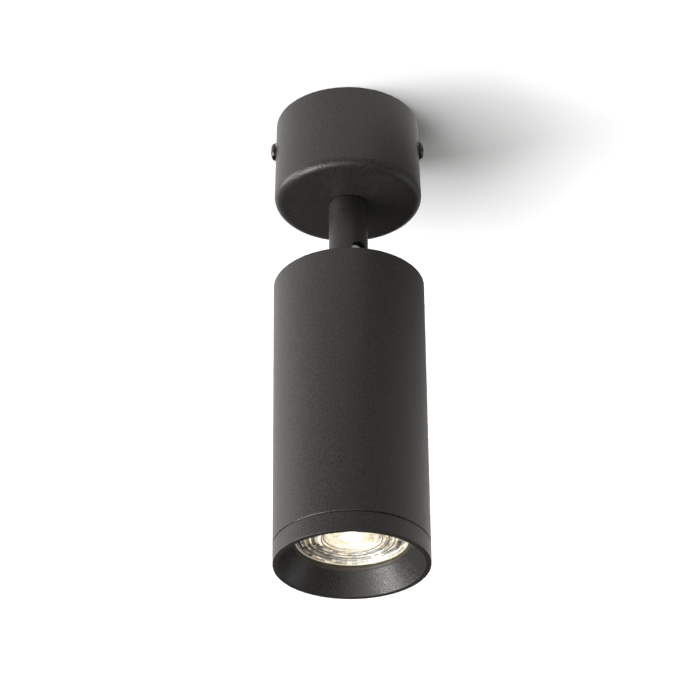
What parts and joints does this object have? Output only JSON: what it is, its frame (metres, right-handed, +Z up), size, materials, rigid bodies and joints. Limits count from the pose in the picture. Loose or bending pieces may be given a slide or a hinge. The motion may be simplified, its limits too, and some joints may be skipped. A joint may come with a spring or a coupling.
{
  "type": "surface mounted ceiling spotlight",
  "caption": "Matt black ceiling spotlight: round canopy, short stem with a tilt pivot, tubular head, and a clear lens set back behind a conical baffle.",
  "frame": {"origin": "centre of the ceiling bracket's two slots, on the ceiling's surface", "axes": "+Z up into the ceiling; X through the canopy's two side screws; the light hangs towards -Z"},
  "size_m": [0.0626, 0.06, 0.2],
  "materials": {
    "powder_coat": "fine matt black powder coat",
    "dark_screw": "gunmetal plated",
    "bright_steel": "nickel plated",
    "zinc_steel": "zinc plated",
    "nylon": "black nylon",
    "friction_plastic": "natural plastic",
    "rubber": "black rubber",
    "clear_terminal": "natural nylon",
    "brass": "plain brass",
    "ceramic": "glazed steatite",
    "lead_sleeve": "heat resistant sleeve",
    "lamp_body": "white thermoplastic",
    "lamp_ring": "pale translucent plastic",
    "lens": "clear faceted plastic",
    "board": "white circuit board",
    "driver": "green circuit board",
    "phosphor": "yellow phosphor"
  },
  "bodies": {
    "canopy": {"ceiling_bracket": "zinc_steel", "canopy_cup": "powder_coat", "canopy_screws": "dark_screw", "cable_grommet": "rubber", "terminal_block": "clear_terminal", "terminal_inserts": "brass", "terminal_screws": "zinc_steel", "block_screws": "zinc_steel", "earth_screw": "brass", "supply_leads": "lead_sleeve"},
    "stem": {"stem_tube": "powder_coat", "stem_washer": "nylon", "stop_washer": "zinc_steel", "spring_washer": "zinc_steel", "swivel_nut": "zinc_steel", "lead_bush": "nylon", "pivot_screw": "bright_steel", "friction_washers": "friction_plastic", "stem_leads": "lead_sleeve"},
    "head": {"head_shell": "powder_coat", "tilt_tongue": "zinc_steel", "holder_bracket": "zinc_steel", "flange_screws": "zinc_steel", "lampholder": "ceramic", "holder_contacts": "brass", "holder_screws": "zinc_steel", "head_earth_screw": "brass", "holder_leads": "lead_sleeve"},
    "bezel": {"bezel_ring": "powder_coat", "bezel_seal": "rubber"},
    "lamp": {"lamp_ring": "lamp_ring", "lamp_housing": "lamp_body", "lamp_lens": "lens", "source_board": "board", "source_chip": "phosphor", "driver_board": "driver", "lamp_base": "lamp_body", "lamp_pins": "bright_steel"}
  },
  "joints": [
    {"name": "pan", "type": "hinge", "parent": "canopy", "child": "stem", "pos_m": [0, 0, -0.038], "axis": [0, 0, 1], "range_deg": [-165, 165]},
    {"name": "tilt", "type": "hinge", "parent": "stem", "child": "head", "pos_m": [0, 0, -0.0632], "axis": [0.6018, -0.7986, 0], "range_deg": [0, 73]},
    {"name": "bezel_release", "type": "slide", "parent": "head", "child": "bezel", "axis": [0, 0, -1], "range_m": [0, 0.025]},
    {"name": "lamp_twist", "type": "hinge", "parent": "head", "child": "lamp", "pos_m": [0, 0, -0.143], "axis": [0, 0, 1], "range_deg": [0, 25]}
  ]
}
